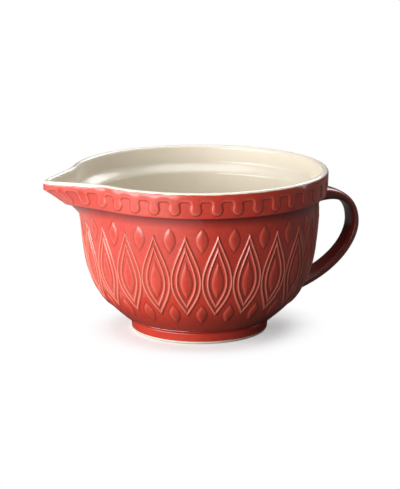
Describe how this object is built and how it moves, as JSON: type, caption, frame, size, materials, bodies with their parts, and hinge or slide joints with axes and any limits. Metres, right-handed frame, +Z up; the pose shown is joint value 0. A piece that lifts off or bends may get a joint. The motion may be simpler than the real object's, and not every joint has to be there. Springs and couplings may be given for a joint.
{
  "type": "batter bowl",
  "caption": "Deep glazed stoneware mixing bowl with a pulled pouring spout, an opposite strap handle, a heavy rim band and moulded relief.",
  "frame": {"origin": "on the table under the middle of the whole length, from spout tip to handle; the bowl's own axis lies 4.75 mm towards the spout from it", "axes": "+Z up along the bowl's axis, +X towards the handle, -X towards the pouring spout"},
  "size_m": [0.2866, 0.22, 0.1401],
  "materials": {
    "red_glaze": "glossy red glaze outside, cream glaze inside",
    "relief_glaze": "glossy red glaze, thin and lighter on the ridges",
    "handle_glaze": "glossy red glaze",
    "foot_glaze": "glossy red glaze, bare pale clay where it stands"
  },
  "bodies": {
    "root": {"bowl_wall": "red_glaze", "rim_band": "red_glaze", "pouring_spout": "red_glaze", "foot_ring": "foot_glaze", "strap_handle": "handle_glaze", "rim_meander": "relief_glaze", "outer_ovals": "relief_glaze", "inner_ovals": "relief_glaze", "oval_pads": "relief_glaze", "upper_leaves": "relief_glaze", "lower_leaves": "relief_glaze"}
  },
  "joints": []
}
